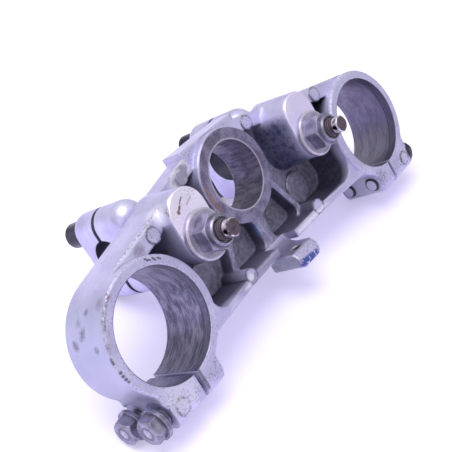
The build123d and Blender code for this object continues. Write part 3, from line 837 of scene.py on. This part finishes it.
holder_finish = Finish(bpy.data.materials.new("buffed_aluminium"))
place, x, y, z = millimetres(holder_finish)
rounded = worn_edge(holder_finish, 0.5)
edge = bent_edge(holder_finish, rounded)
lines = grain(stretched(place, 0.15, 0.15, 2.0), 1.0, 4.0, 0.65)
clouds = grain(place, 0.09, 3.0)
silver = blend(fade(clouds, 0.35, 0.65), tone(192, 189, 226), tone(210, 208, 241))
silver = blend(fade(lines, 0.5, 0.75) * 0.3, silver, tone(150, 146, 172))
nicks = fade(grain(place, 0.7, 5.0, 0.7), 0.66, 0.74)
silver = blend(nicks * 0.6, silver, tone(104, 100, 122))
silver = blend(edge * 0.35, silver, tone(228, 225, 245))
bar_z = z - bar_level
bar_seat_shade = fade(straight(y - bar_ahead, bar_z), bar_radius + 0.3, bar_radius + 0.1)
joint_line = fade(abs(bar_z - 0.3), 1.45, 1.32)
silver = blend(joint_line * 0.85, silver, tone(112, 108, 134))
# painted shade inside the empty bar seat
silver = blend(bar_seat_shade * 0.85, silver, tone(58, 55, 68))
normal = relief(holder_finish, lines - nicks * 0.5, 0.05, rounded)
gloss = {"Roughness": 0.3 + clouds * 0.15, "Metallic": 0.6, "Normal": normal}
coat(holder_finish, {"Base Color": silver, **gloss})
print("holder finish", len(holder_finish), "nodes")

# %% [markdown]
# ## A recipe for steel
# The fasteners are steel with different coats. One function writes any of them from two tones, the
# dirt and painted shade between them and the tone of a rubbed, highlighted edge, because they differ
# in tone and not in kind. The heads of the pinch bolts get a painted dish, a dark ring of shade and a
# bright highlight, and their ends bare metal, all by the distance from the bolts' axes.

# %% Steel recipe
head_side = 127.4


def steel(name, dark, pale, dirt_and_shade, rub_and_highlight, gloss, metal, edge_mm=0.35, bare_inside=0.0, outline=0.0):
    """Steel between two tones: dirty blotches, painted shade in corners, bare bolt ends, a painted
    dish on heads, rubbed edges with painted highlights.
    """
    finish = Finish(bpy.data.materials.new(name))
    place, x, y, z = millimetres(finish)
    rounded = worn_edge(finish, edge_mm)
    clouds = grain(place, 0.22, 3.0, 0.55)
    spots = grain(place, 0.9, 5.0, 0.7)
    colour = blend(fade(clouds, 0.3, 0.7), dark, pale)
    from_axis, head_end = from_pinch_axis(y, z), fade(x, -head_side, -head_side - 0.5)
    tip_end = fade(abs(x), bare_inside + 0.2, bare_inside - 0.2) * fade(from_axis, 3.4, 3.0)
    colour = blend(tip_end, colour, tone(188, 184, 208))
    # painted shade: a dark ring on the head's end, the rim of a painted dish
    colour = blend(head_end * fade(abs(from_axis - 3.0), 0.9, 0.4) * 0.6, colour, dirt_and_shade)
    # painted highlight: a bright centre in the head's painted dish
    head_dish_highlight = head_end * fade(from_axis, 2.8, 1.2) * fade(spots, 0.44, 0.58)
    colour = blend(head_dish_highlight * 0.6, colour, rub_and_highlight)
    colour = blend(fade(spots, 0.58, 0.72) * 0.5, colour, dirt_and_shade)
    # painted shade where the piece closes in around a corner
    shut = sheltered(finish, 1.5)
    colour = blend(fade(shut, 0.3, 0.7) * 0.7, colour, dirt_and_shade)
    if outline:
        beside_edge = bent_edge(finish, worn_edge(finish, outline))
        colour = blend(beside_edge * 0.45, colour, dirt_and_shade)
    # rubbed edges with a painted highlight
    colour = blend(bent_edge(finish, rounded) * fade(shut, 0.3, 0.1) * 0.7, colour, rub_and_highlight)
    normal = relief(finish, clouds * 0.5 + spots * 0.5, 0.04, rounded)
    rough = {"Roughness": gloss + spots * 0.2, "Metallic": metal, "Normal": normal}
    return coat(finish, {"Base Color": colour, **rough})


print("steel recipe ready")

# %% [markdown]
# ## Four steels
# The cap bolts are black, the tight pinch bolts dull black with bright ends, the nuts and the slack
# bolts zinc plated, and the washers satin. Four trees of their own would repeat most nodes, so each
# finish is one call of the recipe, with its tones and its gloss.

# %% Steel finishes
black_steel = steel(
    "black_steel", tone(36, 33, 48), tone(62, 58, 78), tone(84, 79, 92), tone(168, 163, 188),
    gloss=0.14, metal=0.6,
)
pinch_steel = steel(
    "pinch_steel", tone(28, 27, 34), tone(46, 44, 54), tone(70, 65, 74), tone(96, 92, 106),
    gloss=0.3, metal=0.2, bare_inside=82.5,
)
zinc_steel = steel(
    "zinc_steel", tone(116, 113, 135), tone(166, 161, 188), tone(76, 72, 88), tone(232, 228, 248),
    gloss=0.26, metal=0.75, outline=1.0,
)
washer_steel = steel(
    "satin_steel", tone(162, 154, 180), tone(188, 180, 206), tone(106, 97, 116),
    tone(250, 247, 255), gloss=0.2, metal=0.5, edge_mm=1.3,
)
print("steels", [made.name for made in (black_steel, pinch_steel, zinc_steel, washer_steel)])

# %% [markdown]
# ## Dressing the solids
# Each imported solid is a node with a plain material. Its name starts with its kind, so a small table
# from kind to finish dresses all nineteen. Only the material slot changes: the mesh and the place
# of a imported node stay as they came.

# %% Dress the solids
finish_of = {
    "crown": crown_finish.owner,
    "bar_holder": holder_finish.owner,
    "bar_cap": holder_finish.owner,
    "cap_bolt": black_steel,
    "stud_washer": washer_steel,
    "stud_nut": zinc_steel,
    "bar_stud": zinc_steel,
    "pinch_bolt": zinc_steel,
}
for name, node in nodes.items():
    kind = next(key for key in finish_of if name.startswith(key))
    tight = kind == "pinch_bolt" and name.endswith("right")
    node.data.materials.clear()
    node.data.materials.append(pinch_steel if tight else finish_of[kind])
print("dressed", len(nodes), "solids")

# %% [markdown]
# ## Threads as a surface of two parameters
# A screw thread could be swept with the Screw modifier. Here it is worked out as one grid instead:
# the angle runs round the axis, the rows run along it, and the radius of each point follows a wave
# that climbs one pitch in each turn. The grid is closed round the axis and capped at both ends.

# %% Grid to mesh
turn_points, crease_angle = 144, np.radians(38.0)


def lathe_piece(name, along, radius, turns, frame_axes, centre, finish):
    """Surface at centre + along * axis + radius * (cos turn, sin turn), with a fan at each end."""
    across, over, axis = (np.array(a, float) for a in frame_axes)
    wheel = np.cos(turns)[None, :, None] * across + np.sin(turns)[None, :, None] * over
    grid = np.array(centre) + along[:, None, None] * axis + radius[:, :, None] * wheel
    rows, cols = radius.shape
    ends = np.array(centre) + along[[0, -1], None] * axis
    points = np.vstack([grid.reshape(-1, 3), ends]) * MM
    row, col = np.meshgrid(np.arange(rows - 1), np.arange(cols), indexing="ij")
    here, beside = row * cols + col, row * cols + (col + 1) % cols
    quads = np.stack([here, beside, beside + cols, here + cols], axis=-1).reshape(-1, 4)
    rim, next_rim = np.arange(cols), (np.arange(cols) + 1) % cols
    base = np.stack([next_rim, rim, np.full(cols, rows * cols)], axis=-1)
    last = (rows - 1) * cols
    tip = np.stack([rim + last, next_rim + last, np.full(cols, rows * cols + 1)], axis=-1)
    mesh = bpy.data.meshes.new(name)
    mesh.from_pydata(points.tolist(), [], quads.tolist() + base.tolist() + tip.tolist())
    mesh.polygons.foreach_set("use_smooth", np.ones(len(mesh.polygons), bool))
    mesh.set_sharp_from_angle(angle=crease_angle)
    mesh.materials.append(finish)
    piece = bpy.data.objects.new(name, mesh)
    scene.collection.objects.link(piece)
    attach(piece, "root")
    return piece


def thread_wave(along, turns, pitch, slope=2.6, crest=0.2):
    """0 on the crest and 1 in the root: a flat-topped triangle wave of the rise along the helix."""
    phase = (along[:, None] / pitch - turns[None, :] / (2 * np.pi)) % 1.0
    return np.clip(np.abs(phase - 0.5) * slope - crest, 0.0, 1.0)


turns = np.linspace(0, 2 * np.pi, turn_points, endpoint=False)
print("lathe ready,", turn_points, "points to a turn")

# %% [markdown]
# ## Rust on the studs
# Each stud hangs from its holder through the boss. Rust covers the threads, with shade painted in
# their roots and a highlight painted on the crests; the plain tip is rubbed bare with painted glints,
# and the cotter hole is painted dark as shade. The distance from the stud's axis tells root from
# crest, so the colour follows the thread without a painted texture.

# %% Stud finish
tip_level, cotter_level, thread_from = -34.4, -31.9, -30.3
stud_radius, tip_radius = 4.95, 4.35

stud_finish = Finish(bpy.data.materials.new("rusty_stud"))
place, x, y, z = millimetres(stud_finish)
from_axis = straight(abs(x) - bar_side, y - stud_ahead)
rust = grain(place, 0.6, 5.0, 0.7)
colour = blend(fade(rust, 0.35, 0.65), tone(48, 37, 51), tone(98, 79, 97))
threaded = fade(z, thread_from - 0.3, thread_from + 0.1)
# painted shade in the thread roots
root_shade = fade(from_axis, stud_radius - 0.15, stud_radius - 0.45) * threaded
colour = blend(root_shade * 0.85, colour, tone(28, 22, 30))
# painted highlight on the thread crests
crest_highlight = fade(from_axis, stud_radius - 0.11, stud_radius - 0.02) * threaded
colour = blend(crest_highlight * 0.42, colour, tone(166, 150, 170))
outside = fade(from_axis, tip_radius - 0.75, tip_radius - 0.35)
tip_side = fade(z, thread_from, thread_from - 0.5) * outside
# the plain tip's side is rubbed bare, with painted glints
rubbed = tip_side * fade(grain(place, 0.25, 3.0), 0.4, 0.5)
colour = blend(rubbed * 0.9, colour, tone(226, 219, 234))
end_face = fade(z, tip_level + 0.5, tip_level + 0.2)
colour = blend(end_face * fade(rust, 0.3, 0.6), colour, tone(92, 76, 88))
inside = fade(from_axis, tip_radius - 0.4, tip_radius - 0.75)
# painted shade: the cotter hole is dark inside
cotter_hole_shade = inside * fade(abs(z - cotter_level), 1.9, 1.6)
colour = blend(cotter_hole_shade, colour, tone(22, 18, 24))
normal = relief(stud_finish, rust, 0.08, own_normal(stud_finish))
gloss = {"Roughness": 0.55 - rubbed * 0.25, "Metallic": 0.3 + rubbed * 0.5, "Normal": normal}
coat(stud_finish, {"Base Color": colour, **gloss})
print("stud finish", len(stud_finish), "nodes")

# %% [markdown]
# ## The studs themselves
# Below the nut a few turns of thread show, then a plain tip with an empty hole for a cotter pin.
# The hole could be cut with a Boolean. Here it is pressed into the same grid: the radius drops to a
# small core inside a circle seen along the hole's axis. The stud takes the place of the plain one.

# %% Stud surfaces
thread_depth, stud_pitch, row_step = 0.62, 1.25, 0.1
thread_to, stud_top = -24.0, 32.1
chamfer, run_in, run_out = 0.7, 0.5, 0.2
hole_radius, hole_core, hole_rim = 1.5, 1.2, 0.2
along = np.concatenate([
    [tip_level, tip_level],
    np.arange(tip_level + chamfer, thread_from, row_step),
    np.arange(thread_from, thread_to, row_step),
    [thread_to + run_out, 0.0, stud_top],
])
smooth = np.where(along < thread_from, tip_radius, stud_radius)
smooth[:2] = (tip_radius * 0.5, tip_radius - chamfer)
swell = np.clip((along - thread_from) / run_in, 0.0, 1.0) * (along < thread_to)
radius = smooth[:, None] - thread_depth * swell[:, None] * thread_wave(along, turns, stud_pitch)
at_tip = (along < thread_from + run_in / 2)[:, None]
radius = np.where(at_tip, np.minimum(radius, tip_radius), radius)
across_hole = np.hypot(radius * np.sin(turns)[None, :], (along - cotter_level)[:, None])
pressed = np.clip((hole_radius - across_hole) / hole_rim, 0.0, 1.0)
radius = radius - (radius - hole_core) * pressed * (along > tip_level)[:, None]
upright = ((1, 0, 0), (0, 1, 0), (0, 0, 1))
for side_name, side in (("left", -1), ("right", 1)):
    stud = lathe_piece(
        f"threaded_stud_{side_name}", along, radius, turns, upright,
        (side * bar_side, stud_ahead, 0.0), stud_finish.owner,
    )
    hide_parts(f"bar_stud_{side_name}")
    print(stud.name, len(stud.data.polygons), "faces")

# %% [markdown]
# ## Thread on the slack pinch bolts
# The left pair of pinch bolts has been backed off, so a few millimetres of thread show between the
# ear and each flange. A short sleeve of the same wave slips over each shank and dips inside it at
# both ends, so no gap shows.

# %% Pinch bolt threads
seat_side, flange_side, pinch_pitch = 116.5, 120.9, 1.25
sleeve_radius, sleeve_depth, dip_radius = 4.2, 0.34, 3.7
tucked, screwed_in = 0.3, 4.0
along = np.arange(-flange_side - tucked, -seat_side + screwed_in, row_step)
dip = (along <= along[0]) | (along >= along[-1])
radius = sleeve_radius - sleeve_depth * thread_wave(along, turns, pinch_pitch)
radius = np.where(dip[:, None], dip_radius, radius)
lying = ((0, 1, 0), (0, 0, 1), (1, 0, 0))
for place_name, pinch_level in zip(("lower", "upper"), pinch_levels):
    sleeve = lathe_piece(
        f"pinch_thread_{place_name}_left", along, radius, turns, lying,
        (0.0, pinch_ahead, pinch_level), zinc_steel,
    )
    print(sleeve.name, len(sleeve.data.polygons), "faces")

# %% Finish
print("scene built")
